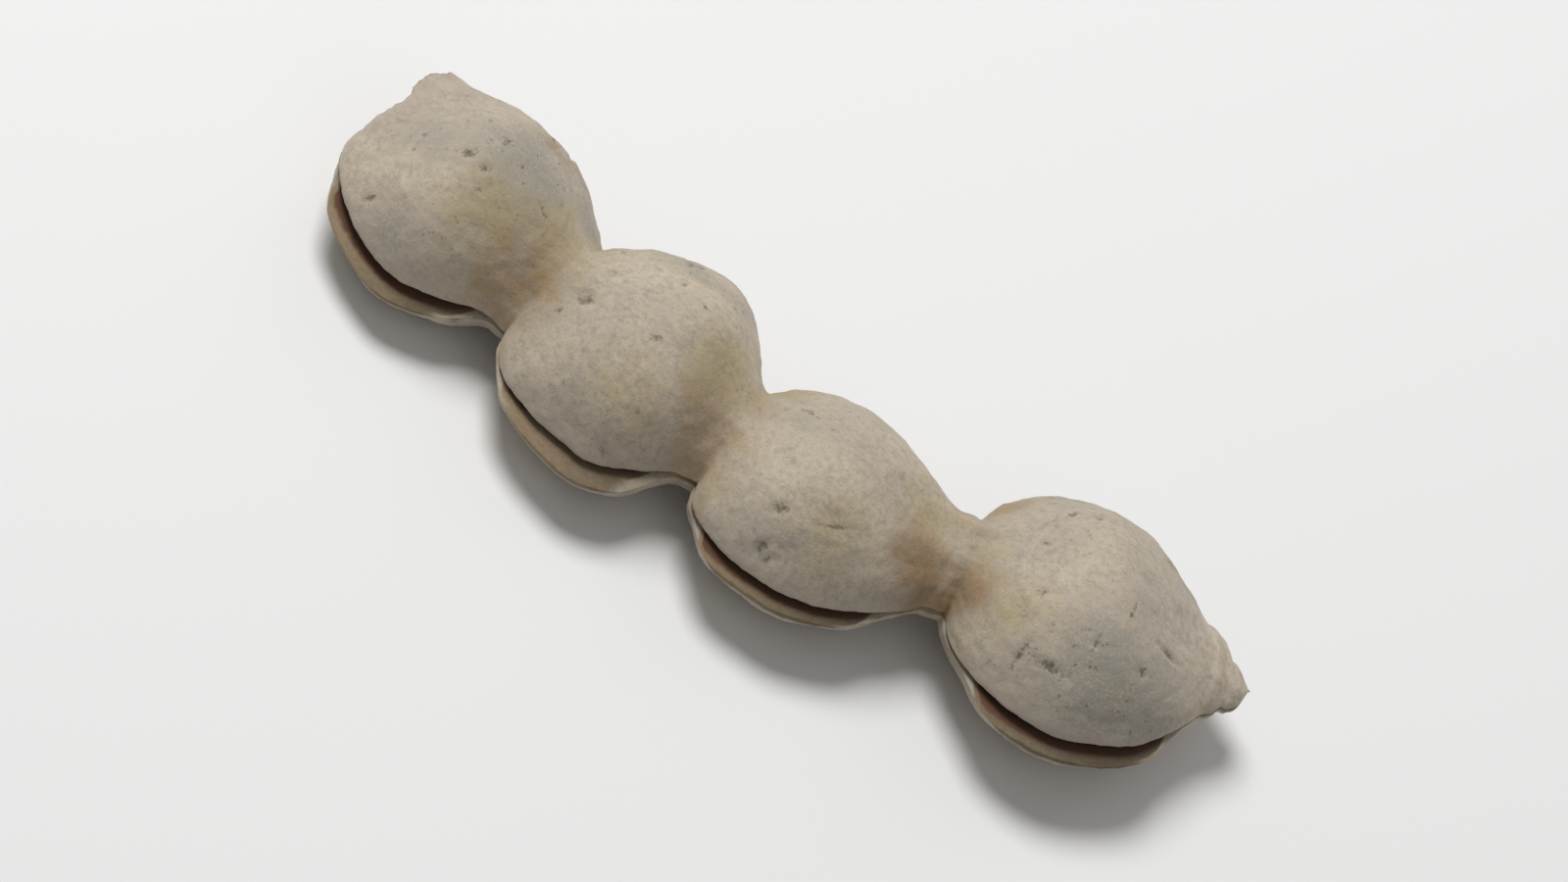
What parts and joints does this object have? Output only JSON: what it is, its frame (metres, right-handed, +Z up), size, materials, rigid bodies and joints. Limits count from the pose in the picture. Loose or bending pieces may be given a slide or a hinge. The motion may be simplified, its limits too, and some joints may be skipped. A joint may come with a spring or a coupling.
{
  "type": "dried acacia pod",
  "caption": "Dried, felted seed pod: rounded lobes strung on narrow necks like beads, seam parted along one edge, torn at one end and beaked at the other, lying flat.",
  "frame": {"origin": "middle of the pod's box, at the level of the surface that it lies on", "axes": "+X along the string of lobes from the torn end to the beak, +Y from the parted seam to the closed back edge, +Z up through the upper valve"},
  "size_m": [0.0542, 0.0188, 0.0079],
  "materials": {
    "felted_skin": "matte felt, rubbed grey in places"
  },
  "bodies": {
    "root": {"pod": "felted_skin"}
  },
  "joints": []
}
